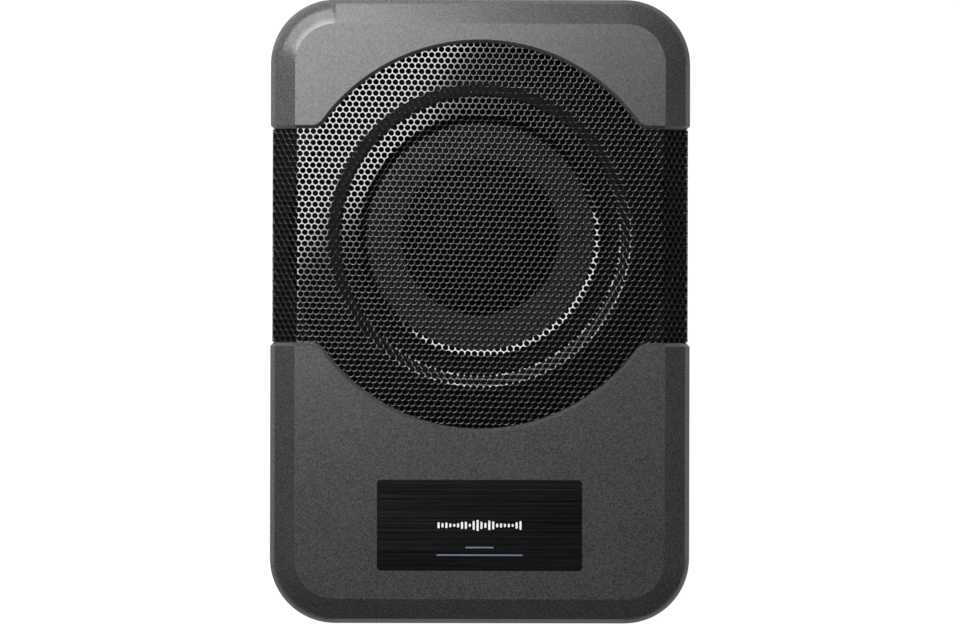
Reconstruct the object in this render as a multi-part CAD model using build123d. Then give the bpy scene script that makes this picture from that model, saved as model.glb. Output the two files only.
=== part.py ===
from build123d import *
from math import cos, hypot, radians, sin
import os

# Powered car subwoofer, lying on its back on four rubber feet with the grille facing up.
# Millimetres. X runs across the case, Y along it, Z up. The origin is on the floor, under the
# middle of the case.

# ---------------------------------------------------------------- case
width = 232.0
length = 345.0
height = 78.0
corner_radius = 36.0
foot_height = 3.0
foot_radius = 10.0
foot_recess = 1.0
foot_inset_x = 26.0
foot_inset_y = 34.5
foot_clearance = 0.2

# Die-cast aluminium tub.
tub_inset = 1.0
tub_wall = 4.0
tub_floor = 3.0
tub_height = 43.0
fin_slot = 3.0
fin_pitch = 7.0
fin_depth = 2.0
fin_margin = 5.0
seal_thickness = 2.0
case_screw_inset = 8.5
case_screw_radius = 1.75
least_screw_reach = 40.0
case_screw_grip = 12.0
column_radius = 5.5
post_radius = 4.5
post_height = 14.0
counterbore_depth = 31.0
head_clearance = 2.1

# Bracket holes in the underside: M5 threads drawn at their minor diameter.
bracket_spacing_x = 160.0
bracket_spacing_y = 220.0
bracket_hole_radius = 2.1
bracket_hole_depth = 9.0
bracket_boss_radius = 6.0
bracket_boss_floor = 3.0

# Trim covers: a flat top, a shallow bevel all round and a narrow, steeper rim.
cover_thickness = 2.2
cover_skirt_gap = 1.0
rim_reach = 2.6
rim_drop = 4.0
bevel_reach = 13.9
bevel_drop = 6.5
cover_post_radius = 4.0
cover_post_length = 13.0
cover_boss_radius = 7.0
cover_screw_radius = 1.5
cover_screw_tip = 2.0
posts_from_well = 4.5

# Moulded upper housing under the covers and the grille.
housing_wall = 2.5
housing_side_gap = 0.4
ledge_thickness = 4.0
driver_boss_drop = 8.0
driver_boss_wall = 2.2
well_clearance = 1.0
mouth_clearance = 0.8
opening_reach = 0.3
opening_edge = 1.9
opening_to_top = 24.5

# Grille: one formed steel sheet that wraps over both long sides.
band_height = 118.0
band_fillet = 9.0
sheet = 1.0
grille_side_inset = 1.0
grille_flange = 5.0
grille_gap = 0.3
disc_depth = 2.9
crown_depth = 2.3
step_inside_cone = 2.0
crest_inside_surround = 1.5
skirt_above_rim = 3.0

# Badge plate.
badge_width = 112.6
badge_height = 49.6
badge_thickness = 1.0
badge_recess = 1.3
badge_radius = 2.0
badge_to_bottom = 54.6
badge_clearance = 0.3
badge_pad = 0.8
badge_pad_margin = 4.0

# ---------------------------------------------------------------- driver
cone_radius = 67.0
cap_radius = 44.0
coil_radius = 25.0
cone_depth = 12.5
cone_thickness = 1.2
cap_height = 10.0
cap_foot = 1.8
cap_glue = 0.05
collar_glue = 0.01
collar_width = 1.0
collar_length = 3.0
roll_width = 21.0
roll_height = 7.0
roll_thickness = 1.0
lip_width = 4.0
flange_width = 17.0
flange_thickness = 3.0
flange_seal = 1.5
flange_to_deck = 16.3
trim_ring_width = 4.0
trim_ring_height = 2.0
driver_screw_radius = 2.0
driver_screw_inset = 5.0
driver_screws = 8
basket_wall = 2.2
pad_size = 12.0
rivet_clearance = 0.6
driver_hole_clearance = 0.4
spoke_count = 6
spoke_angle = 18.0
spider_radius = 58.0
spider_ledge = 6.0
spider_drop = 16.5
spider_wave = 1.2
spider_thickness = 0.5
spider_waves = 5
spider_hub = 3.0
plate_thickness = 5.0
plate_radius = 52.0
magnet_radius = 55.0
magnet_setback = 4.1
magnet_thickness = 14.0
vent_radius = 9.0
former_wall = 0.35
winding_thickness = 0.95
winding_height = 13.0
former_overhang = 3.5
pole_clearance = 0.7
pole_rise = 0.5
gap_clearance = 0.6
base_ring_thickness = 2.2
base_ring_bore = 40.0
plate_drop = 24.5
glue_gap = 0.3

# ---------------------------------------------------------------- amplifier and control panel
pocket_depth = 9.0
pocket_half_width = 76.0
pocket_low = 5.0
pocket_high = 4.0
panel_thickness = 2.0
panel_clearance = 0.4
panel_ledge = 8.0
pocket_wall = 3.0
board_thickness = 1.6
board_width = 140.0
standoff_height = 7.0
standoff_radius = 3.6
board_screw_radius = 1.4
board_screw_grip = 5.0
board_gap = 4.0
bay_gap = 17.0
rca_radius = 4.15
rca_length = 8.0
rca_shell = 0.6
rca_collar = 0.6
rca_root = 3.95
rca_bore = 1.6
rca_pitch = 14.0
knob_radius = 6.5
knob_length = 8.0
shaft_radius = 3.0
shaft_clearance = 0.05
bushing_radius = 4.5
lever_travel = 4.0
screw_clearance = 0.15

# How far one feature runs into the next where they join, and a cut past the face it opens.
merge = 0.5
past = 1.0

# Places along the control panel, measured from its middle.
rca_x = -53.0
power_x = -24.0
remote_x = 2.0
gain_x = 19.0
crossover_x = 36.0
phase_x = 51.0
lamp_x = 62.0

# ---------------------------------------------------------------- places worked out from the sizes
tub_bottom = foot_height
floor_top = tub_bottom + tub_floor
tub_rim = tub_bottom + tub_height
housing_bottom = tub_rim + seal_thickness
skirt_bottom = tub_rim + cover_skirt_gap

surround_outer = cone_radius + roll_width
flange_outer = surround_outer + flange_width
well_radius = flange_outer + well_clearance
opening_radius = well_radius + opening_reach
driver_y = length / 2 - opening_to_top - opening_radius
at_driver = Pos(0, driver_y, 0)

grille_top = height - cover_thickness
deck_top = grille_top - sheet
flange_top = deck_top - flange_to_deck
ledge_top = flange_top - flange_thickness - flange_seal
ledge_bottom = ledge_top - ledge_thickness
mouth_radius = surround_outer + basket_wall + mouth_clearance

spider_z = flange_top - spider_drop
plate_top = flange_top - plate_drop
magnet_top = plate_top - plate_thickness
yoke_top = magnet_top - magnet_thickness
yoke_bottom = yoke_top - plate_thickness
neck_radius = coil_radius + former_wall
neck_z = flange_top - cone_depth

panel_face = -length / 2 + tub_inset + pocket_depth
panel_back = panel_face + panel_thickness
panel_low = tub_bottom + pocket_low
panel_high = tub_rim - pocket_high
panel_z = (panel_low + panel_high) / 2
# The panel's own frame: x to the right and y up as its user sees it, z out of the case.
at_panel = Pos(0, panel_face, panel_z) * Rot(90, 0, 0)

board_low = panel_back + pocket_wall + board_gap / 2
board_high = driver_y - magnet_radius - bay_gap
board_bottom = floor_top + standoff_height
board_top = board_bottom + board_thickness
board_length = board_high - board_low
board_y = (board_low + board_high) / 2

# Underside of the covers' screw posts, where their screws' washers bear.
cover_screw_z = height - cover_thickness - cover_post_length

both = (-1, 1)


# ---------------------------------------------------------------- helpers
def plan(inset):
    """The case's rounded outline, drawn inwards by inset."""
    return RectangleRounded(width - 2 * inset, length - 2 * inset, corner_radius - inset)


def slab(sketch, low, high):
    """A sketch given a thickness from one height to another."""
    return extrude(Pos(0, 0, low) * sketch, high - low)


def block(x, y, z):
    """A box from three (low, high) pairs."""
    centre = Pos((x[0] + x[1]) / 2, (y[0] + y[1]) / 2, (z[0] + z[1]) / 2)
    return centre * Box(x[1] - x[0], y[1] - y[0], z[1] - z[0])


def turned(*points):
    """A ring or disc about Z with a closed section of (radius, z) points."""
    return revolve(Plane.XZ * make_face(Polyline(*points, close=True)), Axis.Z)


def ring(inner, outer, low, high):
    """A plain ring about Z."""
    return turned((inner, low), (outer, low), (outer, high), (inner, high))


def rod(radius, low, high):
    """A plain cylinder about Z."""
    return Pos(0, 0, (low + high) / 2) * Cylinder(radius, high - low)


def group(shapes):
    """Separate solids kept in one node."""
    return Part() + list(shapes)


def meeting(first, second):
    """Where two lines meet; each is (point, direction) in the (inset, z) plane."""
    (ax, az), (au, aw) = first
    (bx, bz), (bu, bw) = second
    step = ((bx - ax) * bw - (bz - az) * bu) / (au * bw - aw * bu)
    return ax + au * step, az + aw * step


def moved_in(start, end, shift):
    """The line from start to end, moved into the case by shift."""
    du, dw = end[0] - start[0], end[1] - start[1]
    size = hypot(du, dw)
    return (start[0] + dw / size * shift, start[1] - du / size * shift), (du, dw)


def hood(side, top, low):
    """The case's bevelled outer form with its sides moved in by side and its top down by top."""
    corners = [
        (0, low),
        (0, height - bevel_drop - rim_drop),
        (rim_reach, height - bevel_drop),
        (bevel_reach, height),
        (corner_radius, height),
    ]
    shifts = [side, side, top, top]
    faces = [moved_in(a, b, s) for a, b, s in zip(corners, corners[1:], shifts)]
    levels = [meeting(a, b) for a, b in zip(faces, faces[1:])]
    shape = slab(plan(side), low, levels[0][1])
    for (inset_a, z_a), (inset_b, z_b) in zip(levels, levels[1:]):
        shape += loft([Pos(0, 0, z_a) * plan(inset_a), Pos(0, 0, z_b) * plan(inset_b)], ruled=True)
    return shape


def pan_screw(radius, grip, head_radius, head_height, flat=0.0):
    """A cross-recessed screw: its head stands on z = 0 and its shank runs down; flat adds a washer."""
    screw = rod(radius, -grip, 0) + rod(head_radius, 0, head_height)
    screw = chamfer(screw.edges().sort_by(Axis.Z)[-1], head_height * 0.35)
    for turn in (0, 90):
        slot = Box(head_radius * 1.1, head_radius * 0.28, head_height)
        screw -= Pos(0, 0, head_height) * Rot(0, 0, turn) * slot
    if flat:
        screw += rod(head_radius + flat, 0, head_height * 0.3)
    return screw


def wire(points, radius, bend):
    """A round lead along straight runs joined by arcs."""
    path = FilletPolyline(*points, radius=bend)
    start = Plane(origin=path @ 0, z_dir=path % 0)
    return sweep(start * Circle(radius), path=path)


# ---------------------------------------------------------------- patterns of fasteners
corner_x = width / 2 - corner_radius
corner_y = length / 2 - corner_radius
corner_reach = corner_radius - case_screw_inset
case_screw_places = [
    (sx * (corner_x + corner_reach * cos(radians(60))), sy * (corner_y + corner_reach * sin(radians(60))))
    for sx in both
    for sy in both
]
post_gap = 2.0
post_to_driver = well_radius + housing_wall + post_radius + post_gap
side_screw_x = width / 2 - case_screw_inset
clear_of_well = max(post_to_driver**2 - side_screw_x**2, 0.0) ** 0.5 + 3.0
side_screw_reach = max(clear_of_well, least_screw_reach)
lower_side_screw = (driver_y - length / 2) / 2 - 10.0
side_screw_ys = [driver_y + side_screw_reach, driver_y - side_screw_reach, lower_side_screw]
case_screw_places += [(sx * side_screw_x, y) for sx in both for y in side_screw_ys]

foot_places = [
    (sx * (width / 2 - foot_inset_x), sy * (length / 2 - foot_inset_y)) for sx in both for sy in both
]
bracket_places = [
    (sx * bracket_spacing_x / 2, sy * bracket_spacing_y / 2) for sx in both for sy in both
]

cover_post_circle = well_radius + housing_wall + cover_boss_radius + posts_from_well


def post_beside_well(angle):
    """A cover post just outside the driver's well; the angle is measured from +X."""
    return cover_post_circle * cos(radians(angle)), driver_y + cover_post_circle * sin(radians(angle))


upper_posts = [post_beside_well(a) for a in (43, 64, 116, 137)]
lower_posts = [post_beside_well(a) for a in (-43, -90, -137)]
lower_posts += [(s * (corner_x + 9.0), -corner_y - 7.0) for s in both]

driver_screw_circle = flange_outer - driver_screw_inset
driver_screw_places = [
    (
        driver_screw_circle * cos(radians((k + 0.5) * 360 / driver_screws)),
        driver_y + driver_screw_circle * sin(radians((k + 0.5) * 360 / driver_screws)),
    )
    for k in range(driver_screws)
]
standoff_places = [
    (s * (board_width / 2 - 6), y) for s in both for y in (board_low + 22, board_y, board_high - 6)
]


# ---------------------------------------------------------------- case
def opening_plan():
    """The grille's opening: a circle over the driver and a band from side to side."""
    band = Rectangle(width + 2 * past, band_height)
    shape = Circle(opening_radius) + band
    reach = (opening_radius**2 - (band_height / 2) ** 2) ** 0.5
    inner = [v for v in shape.vertices() if abs(abs(v.X) - reach) < 0.1]
    return at_driver * fillet(inner, band_fillet)


def base_tub():
    """Die-cast tub with cooling fins, screw columns, bracket bosses and the panel's pocket."""
    inner = tub_inset + tub_wall
    tub = slab(plan(tub_inset), tub_bottom, tub_rim)
    tub -= slab(plan(inner), floor_top, tub_rim)
    for x, y in case_screw_places:
        tub += Pos(x, y, 0) * rod(column_radius, tub_bottom + merge, tub_rim)
    for x, y in bracket_places:
        boss_top = tub_bottom + bracket_hole_depth + bracket_boss_floor
        tub += Pos(x, y, 0) * rod(bracket_boss_radius, tub_bottom + merge, boss_top)
    for x, y in standoff_places:
        tub += Pos(x, y, 0) * rod(standoff_radius, tub_bottom + merge, board_bottom)
    # The pocket for the control panel, its ledge and its window.
    outer_y = -length / 2 + tub_inset
    side = pocket_half_width + pocket_wall
    tub += block((-side, side), (outer_y, panel_back + pocket_wall), (tub_bottom, tub_rim))
    pocket_y = (outer_y - past, panel_back)
    tub -= block((-pocket_half_width, pocket_half_width), pocket_y, (panel_low, panel_high))
    window = pocket_half_width - panel_ledge
    window_z = (panel_low + panel_ledge / 2, panel_high - panel_ledge / 2)
    tub -= block((-window, window), (panel_back - past, panel_back + pocket_wall + past), window_z)
    # A rail beside the board carries the transistors' heat into the floor.
    rail_y = (transistor_ys[0] - transistor_pitch / 2, transistor_ys[-1] + transistor_pitch / 2)
    tub += block((rail_x, rail_x + rail_thickness), rail_y, (tub_bottom + merge, board_top + rail_height))
    # Cooling fins: slots down both long sides.
    straight = length - 2 * corner_radius
    slots = int((straight - 2 * fin_margin) // fin_pitch)
    for k in range(slots + 1):
        y = (k - slots / 2) * fin_pitch
        for s in both:
            x = s * (width / 2 - tub_inset - fin_depth / 2)
            slot = Box(fin_depth, fin_slot, tub_height - 2 * fin_margin)
            tub -= Pos(x, y, (tub_bottom + tub_rim) / 2) * slot
    for x, y in case_screw_places:
        tub -= Pos(x, y, 0) * rod(case_screw_radius + screw_clearance, 0, tub_rim + past)
        tub -= Pos(x, y, 0) * rod(case_screw_radius + head_clearance, 0, tub_bottom + counterbore_depth)
    for x, y in bracket_places:
        tub -= Pos(x, y, 0) * rod(bracket_hole_radius, 0, tub_bottom + bracket_hole_depth)
    for x, y in foot_places:
        tub -= Pos(x, y, 0) * rod(foot_radius, 0, tub_bottom + foot_recess)
    for x, y in standoff_places:
        tub -= Pos(x, y, 0) * rod(board_screw_radius + screw_clearance, floor_top, board_bottom + past)
    for x, y in panel_screw_places:
        hole = rod(board_screw_radius + screw_clearance, -board_screw_grip - past, 0)
        tub -= at_panel * Pos(x, y, 0) * hole
    hole = rod(board_screw_radius + screw_clearance, -past, rail_thickness + past)
    for y in clamp_screw_ys:
        tub -= Pos(rail_x, y, clamp_z) * Rot(0, 90, 0) * hole
    return tub


def case_seal():
    """Flat seal between the tub's rim and the upper housing, with an eye round each screw."""
    inner = tub_inset + tub_wall
    outline = plan(grille_side_inset + sheet + housing_side_gap) - plan(inner)
    for x, y in case_screw_places:
        outline += Pos(x, y) * Circle(post_radius)
    for x, y in case_screw_places:
        outline -= Pos(x, y) * Circle(case_screw_radius + screw_clearance)
    return slab(outline, tub_rim, housing_bottom)


def upper_housing():
    """Moulded housing: deck under the covers, side walls, the driver's well and its ledge."""
    side = grille_side_inset + sheet + housing_side_gap
    top = height - deck_top
    form = hood(side, top, housing_bottom)
    shape = form - hood(side + housing_wall, top + housing_wall, housing_bottom)
    well = ring(well_radius, well_radius + housing_wall, ledge_bottom, height)
    shape += (at_driver * well) & form
    for x, y in case_screw_places:
        post = Pos(x, y, 0) * rod(post_radius, housing_bottom, housing_bottom + post_height)
        shape += post & form
    for x, y in upper_posts + lower_posts:
        shape += Pos(x, y, 0) * rod(cover_boss_radius, cover_screw_z, deck_top - merge)
    shape -= at_driver * rod(well_radius, ledge_top, height)
    shape += at_driver * ring(mouth_radius, well_radius + merge, ledge_bottom, ledge_top)
    boss_bottom = ledge_bottom - driver_boss_drop
    for x, y in driver_screw_places:
        shape += Pos(x, y, 0) * rod(driver_screw_radius + driver_boss_wall, boss_bottom, ledge_top)
    driver_hole = rod(driver_screw_radius + screw_clearance, boss_bottom + past, ledge_top + past)
    for x, y in driver_screw_places:
        shape -= Pos(x, y, 0) * driver_hole
    hole_top = housing_bottom + case_screw_grip + past
    case_hole = rod(case_screw_radius + screw_clearance, housing_bottom - past, hole_top)
    for x, y in case_screw_places:
        shape -= Pos(x, y, 0) * case_hole
    for x, y in upper_posts + lower_posts:
        shape -= Pos(x, y, 0) * rod(cover_post_radius + grille_gap, ledge_bottom, height)
    return shape


def outer_height(x):
    """Height of the covers' outer face at a distance from the middle, clear of the rounded corners."""
    inset = width / 2 - abs(x)
    if inset >= bevel_reach:
        return height
    if inset >= rim_reach:
        return height - bevel_drop * (bevel_reach - inset) / (bevel_reach - rim_reach)
    return height - bevel_drop - rim_drop * (rim_reach - inset) / rim_reach


def bevelled_opening(cover):
    """A cover with its outer edge bevelled all along the grille's opening."""
    boundary = opening_plan().face().outer_wire()
    outer_edges = []
    for edge in cover.edges():
        middle = edge @ 0.5
        top = outer_height(middle.X)
        on_opening = boundary.distance_to(Vector(middle.X, middle.Y, 0)) < 0.01
        on_side = abs(abs(middle.X) - width / 2) < 0.01 and middle.Z < top
        if on_opening and (on_side or abs(middle.Z - top) < 0.05):
            outer_edges.append(edge)
    return chamfer(outer_edges, min(opening_edge, cover_thickness - 0.3))


def trim_covers():
    """The shell above the grille and the one below it, with their screw posts."""
    shell = hood(0, 0, skirt_bottom) - hood(cover_thickness, cover_thickness, skirt_bottom - past)
    shell -= slab(opening_plan(), 0, height + past)
    pieces = shell.solids().sort_by(Axis.Y)
    lower, upper = (bevelled_opening(Part() + [piece]) for piece in (pieces[0], pieces[-1]))
    post_low = cover_screw_z
    margin = badge_pad_margin
    pad = RectangleRounded(badge_width + 2 * margin, badge_height + 2 * margin, badge_radius + margin)
    lower += Pos(0, badge_y, 0) * slab(pad, grille_top - badge_pad, grille_top + merge)
    gap = badge_clearance
    recess = RectangleRounded(badge_width + 2 * gap, badge_height + 2 * gap, badge_radius + gap)
    lower -= Pos(0, badge_y, 0) * slab(recess, height - badge_recess, height + past)
    post = rod(cover_post_radius, post_low, grille_top + merge)
    hole = rod(cover_screw_radius + screw_clearance, post_low - past, grille_top - cover_screw_tip)
    for x, y in upper_posts:
        upper += Pos(x, y, 0) * post
        upper -= Pos(x, y, 0) * hole
    for x, y in lower_posts:
        lower += Pos(x, y, 0) * post
        lower -= Pos(x, y, 0) * hole
    return upper, lower


def grille_section():
    """Radii and heights of the rings pressed into the grille, from its centre outwards."""
    disc = grille_top - disc_depth
    crown = grille_top - crown_depth
    step = cone_radius - step_inside_cone
    crest = surround_outer - crest_inside_surround
    return [
        (0, disc),
        (step - 2.0, disc),
        (step + 1.2, crown + 0.1),
        (step + 12.3, crown),
        (crest - 3.2, grille_top),
        (crest + 12.0, grille_top),
    ]


def grille():
    """Formed steel sheet: pressed rings over the driver, flat corners, sides wrapped down."""
    skirt = tub_rim + skirt_above_rim
    form = hood(grille_side_inset, cover_thickness, skirt)
    form -= hood(grille_side_inset + sheet, cover_thickness + sheet, skirt - past)
    flat_width = width - 2 * bevel_reach - 4 * past
    flat_strip = at_driver * Rectangle(flat_width, 4 * opening_radius)
    covered = offset(opening_plan(), grille_flange) & flat_strip
    outline = covered + at_driver * Rectangle(width, band_height - 2 * grille_gap)
    for x, y in upper_posts + lower_posts:
        outline -= Pos(x, y) * Circle(cover_post_radius + 2 * grille_gap)
    sheet_form = form & slab(outline, skirt - past, height)
    top_line = grille_section()
    edge = top_line[-1][0]
    sheet_form -= at_driver * rod(edge, deck_top - past, height)
    under_line = [(r, z - sheet) for r, z in reversed(top_line)]
    return sheet_form + at_driver * turned(*top_line, *under_line)


# ---------------------------------------------------------------- driver
def basket():
    """Pressed-steel chassis: flange, spoked cone-shaped wall, spider ledge and base ring."""
    wall_top = flange_top - flange_thickness
    ledge_r = spider_radius + basket_wall
    shape = ring(surround_outer - 1, flange_outer, wall_top, flange_top)
    shape += turned(
        (surround_outer - 1, wall_top + 1),
        (surround_outer - 1, wall_top),
        (ledge_r, spider_z),
        (spider_radius - spider_ledge, spider_z),
        (spider_radius - spider_ledge, plate_top + base_ring_thickness),
        (base_ring_bore, plate_top + base_ring_thickness),
        (base_ring_bore, plate_top),
        (spider_radius - spider_ledge + basket_wall, plate_top),
        (spider_radius - spider_ledge + basket_wall, spider_z - basket_wall),
        (ledge_r + 1, spider_z - basket_wall),
        (surround_outer + basket_wall - 1, wall_top - 1),
        (surround_outer + basket_wall - 1, wall_top + 1),
    )
    gap_angle = 360 / spoke_count - spoke_angle
    window = Pos(0, 0, spider_z - 6) * revolve(
        Plane.XZ * Pos((ledge_r + surround_outer) / 2, 20) * Rectangle(surround_outer - ledge_r - 5, 40),
        Axis.Z,
        gap_angle,
    )
    window &= rod(surround_outer + 5, spider_z - 6, wall_top)
    for k in range(spoke_count):
        shape -= Rot(0, 0, k * 360 / spoke_count - gap_angle / 2) * window
    pad = block((-pad_size, pad_size), (-terminal_reach, -terminal_reach + pad_size), terminal_heights)
    inner_wall = turned(
        (0, spider_z - pad_size),
        (ledge_r + rivet_clearance, spider_z - pad_size),
        (ledge_r + rivet_clearance, spider_z),
        (surround_outer - 1 + rivet_clearance, wall_top),
        (0, wall_top),
    )
    shape += pad - inner_wall
    hole = rod(driver_screw_radius + driver_hole_clearance, wall_top - past, flange_top + past)
    return at_driver * shape - [Pos(x, y, 0) * hole for x, y in driver_screw_places]


def surround():
    """Half-roll rubber surround with a lip on the cone's edge and one on the flange."""
    middle = (cone_radius + surround_outer) / 2
    low = flange_top
    high = flange_top + roll_thickness
    thin = roll_thickness
    section = Polyline((cone_radius, high), (cone_radius - lip_width, high), (cone_radius - lip_width, low))
    section += Line((cone_radius - lip_width, low), (cone_radius + thin, low))
    section += ThreePointArc(
        (cone_radius + thin, low), (middle, low + roll_height - thin), (surround_outer - thin, low)
    )
    section += Polyline(
        (surround_outer - thin, low),
        (surround_outer + lip_width, low),
        (surround_outer + lip_width, high),
        (surround_outer, high),
    )
    section += ThreePointArc((surround_outer, high), (middle, low + roll_height), (cone_radius, high))
    return at_driver * revolve(Plane.XZ * make_face(section), Axis.Z)


def cone():
    """Straight-sided cone with a flat rim for the surround and a collar glued round the former."""
    rim = cone_radius - lip_width
    neck = neck_radius + collar_glue
    shape = turned(
        (neck, neck_z),
        (neck + collar_width, neck_z),
        (rim, flange_top),
        (cone_radius, flange_top),
        (cone_radius, flange_top - cone_thickness),
        (rim + 0.5, flange_top - cone_thickness),
        (neck + collar_width + 0.4, neck_z - cone_thickness),
        (neck + collar_width, neck_z - collar_length),
        (neck, neck_z - collar_length),
    )
    return at_driver * shape


def cone_surface(radius):
    """Height of the cone's upper face at a radius."""
    start = neck_radius + collar_width
    rim = cone_radius - lip_width
    return neck_z + (radius - start) / (rim - start) * cone_depth


def dust_cap():
    """Domed cap glued to the cone by a flat foot."""
    foot = cone_surface(cap_radius) + cap_glue
    top = foot + cap_height
    inner = cap_radius - cap_foot
    section = ThreePointArc((-cap_radius, foot), (0, top), (cap_radius, foot))
    section += ThreePointArc((-inner, foot), (0, top - cone_thickness), (inner, foot))
    section += Line((-cap_radius, foot), (-inner, foot))
    section += Line((cap_radius, foot), (inner, foot))
    right_side = Pos(cap_radius, top) * Rectangle(2 * cap_radius, 4 * cap_height)
    half = make_face(section) & right_side
    return at_driver * revolve(Plane.XZ * half, Axis.Z)


def spider():
    """Corrugated fabric suspension between the former and the basket's ledge."""
    inner = neck_radius + glue_gap
    flat_inner = inner + spider_hub
    flat_outer = spider_radius - spider_ledge
    pitch = (flat_outer - flat_inner) / spider_waves
    line = [(inner, spider_z), (flat_inner, spider_z)]
    for k in range(spider_waves):
        start = flat_inner + k * pitch
        line.append((start + pitch / 4, spider_z + spider_wave))
        line.append((start + pitch * 3 / 4, spider_z - spider_wave))
    line += [(flat_outer, spider_z), (spider_radius, spider_z)]
    upper = [(r, z + spider_thickness) for r, z in reversed(line)]
    return at_driver * turned(*line, *upper)


def yoke():
    """Back plate and vented pole in one piece."""
    pole = coil_radius - pole_clearance
    shape = ring(vent_radius, plate_radius, yoke_bottom, yoke_top)
    return at_driver * (shape + ring(vent_radius, pole, yoke_top - merge, plate_top + pole_rise))


terminal_reach = spider_radius + basket_wall + 20.0
terminal_heights = (spider_z + 1.5, spider_z + 7.5)
terminal_middle = sum(terminal_heights) / 2
strip_half = 17.0
strip_thickness = 2.0
tab_x = 6.0
tab_half = 2.4
tab_length = 6.0
tab_heights = (terminal_middle - 0.5, terminal_middle + 0.5)
tab_end = -terminal_reach - strip_thickness - tab_length
tinsel_end = 40.0
tinsel_radius = 0.6
tinsel_bend = 3.0


def terminal_strip():
    """Fibre strip on the basket's pad."""
    strip_y = (-terminal_reach - strip_thickness, -terminal_reach)
    return at_driver * block((-strip_half, strip_half), strip_y, terminal_heights)


def terminal_tabs():
    """Two tinned tabs on the strip."""
    tab_y = (tab_end, -terminal_reach - strip_thickness)
    tabs = [block((s * tab_x - tab_half, s * tab_x + tab_half), tab_y, tab_heights) for s in both]
    return at_driver * group(tabs)


def tinsel_leads():
    """Braided leads from the strip to the underside of the cone."""
    leads = []
    end_z = cone_surface(tinsel_end) - cone_thickness - 1.1
    for s in both:
        route = [
            (s * 15, -terminal_reach, terminal_middle),
            (s * 15, -terminal_reach + 16, terminal_middle),
            (s * 13, -tinsel_end - 7, terminal_middle - 0.8),
            (s * 12, -tinsel_end + 3, end_z),
        ]
        leads.append(wire(route, tinsel_radius, tinsel_bend))
    return at_driver * group(leads)


header_y = driver_y - terminal_reach - 22.0
header_top = board_top + 9.0
speaker_lead_radius = 1.1
speaker_lead_bend = 5.0


def speaker_leads():
    """Two insulated leads from the driver's tabs down to the board's header."""
    leads = []
    for s in both:
        start = (s * tab_x, driver_y + tab_end, terminal_middle)
        corner = (s * tab_x, header_y, terminal_middle)
        end = (s * tab_x, header_y, header_top)
        leads.append(wire([start, corner, end], speaker_lead_radius, speaker_lead_bend))
    return group(leads)


# ---------------------------------------------------------------- amplifier
transistor_pitch = 16.0
transistor_count = 6
transistor_middle = (transistor_count - 1) / 2
transistor_ys = [board_y + (k - transistor_middle) * transistor_pitch for k in range(transistor_count)]
clamp_screw_ys = [transistor_ys[0] + transistor_pitch / 2, transistor_ys[-1] - transistor_pitch / 2]
rail_x = board_width / 2 + 3.0
rail_thickness = 6.0
rail_height = 22.0
package_thickness = 4.4
package_half = 5.0
package_low = 6.0
package_high = 21.0
pin_pitch = 2.5
pin_half = 0.4
clamp_thickness = 1.0
clamp_hole_radius = 1.8
clamp_low = 10.0
clamp_high = 18.0
clamp_x = rail_x - package_thickness - clamp_thickness
clamp_z = board_top + (clamp_low + clamp_high) / 2
can_radius = 8.0
can_height = 28.0
can_pitch = 19.0
choke_inner = 7.0
choke_outer = 15.0
choke_height = 13.0
choke_turns = 18
header_half = (11.0, 4.5)


def amplifier_board():
    """Circuit board with a notched edge and fixing holes."""
    board = slab(Pos(0, board_y) * Rectangle(board_width, board_length), board_bottom, board_top)
    for x, y in standoff_places:
        board -= Pos(x, y, 0) * rod(board_screw_radius + 0.3, board_bottom - 1, board_top + 1)
    return board


def power_transistors():
    """Six flat packages, backs against the rail, leads down to the board."""
    items = []
    for y in transistor_ys:
        body = block(
            (rail_x - package_thickness, rail_x),
            (y - package_half, y + package_half),
            (board_top + package_low, board_top + package_high),
        )
        lead_x = (rail_x - package_thickness + 0.3, rail_x - package_thickness + 1.0)
        lead_z = (board_top, board_top + package_low + merge)
        for pin_y in (y - pin_pitch, y, y + pin_pitch):
            body += block(lead_x, (pin_y - pin_half, pin_y + pin_half), lead_z)
        items.append(body)
    return group(items)


def transistor_clamp():
    """Sprung steel strip across the packages."""
    strip = block(
        (clamp_x, clamp_x + clamp_thickness),
        (transistor_ys[0] - package_half - 1, transistor_ys[-1] + package_half + 1),
        (board_top + clamp_low, board_top + clamp_high),
    )
    for y in clamp_screw_ys:
        strip -= Pos(clamp_x, y, clamp_z) * Rot(0, 90, 0) * rod(clamp_hole_radius, -past, 2 * clamp_thickness)
    return strip


def clamp_screws():
    """Two screws through the clamp into the rail."""
    screw = pan_screw(board_screw_radius, 10.0, 2.8, 2.0)
    return group([Pos(clamp_x, y, clamp_z) * Rot(0, -90, 0) * screw for y in clamp_screw_ys])


def filter_capacitors():
    """Four upright capacitors with a crimped neck."""
    can = rod(can_radius, board_top, board_top + can_height)
    can -= ring(can_radius - 0.6, can_radius + past, board_top + 3.0, board_top + 4.2)
    can = chamfer(can.edges().sort_by(Axis.Z)[-1], 0.8)
    columns = (-54.0, -54.0 + can_pitch)
    rows = (board_y + 8.0, board_y + 8.0 + can_pitch)
    return group([Pos(x, y, 0) * can for x in columns for y in rows])


def input_choke():
    """Wound toroid: core and coil as one solid."""
    core = ring(choke_inner, choke_outer, board_top, board_top + choke_height)
    middle = (choke_inner + choke_outer) / 2
    turn = Box(choke_outer - choke_inner + 4, 2.6, choke_height + 2)
    for k in range(choke_turns):
        core += Rot(0, 0, k * 360 / choke_turns) * Pos(middle, 0, board_top + choke_height / 2) * turn
    core -= rod(choke_outer + 5, 0, board_top)
    return Pos(-44, board_y - 20, 0) * core


def power_transformer():
    """Ferrite transformer: two core halves around a bobbin."""
    core = block((-17, 17), (-7, 7), (board_top, board_top + 24))
    core += block((-13, 13), (-14, 14), (board_top + 4, board_top + 20))
    return Pos(-6, board_y - 10, 0) * core


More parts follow.
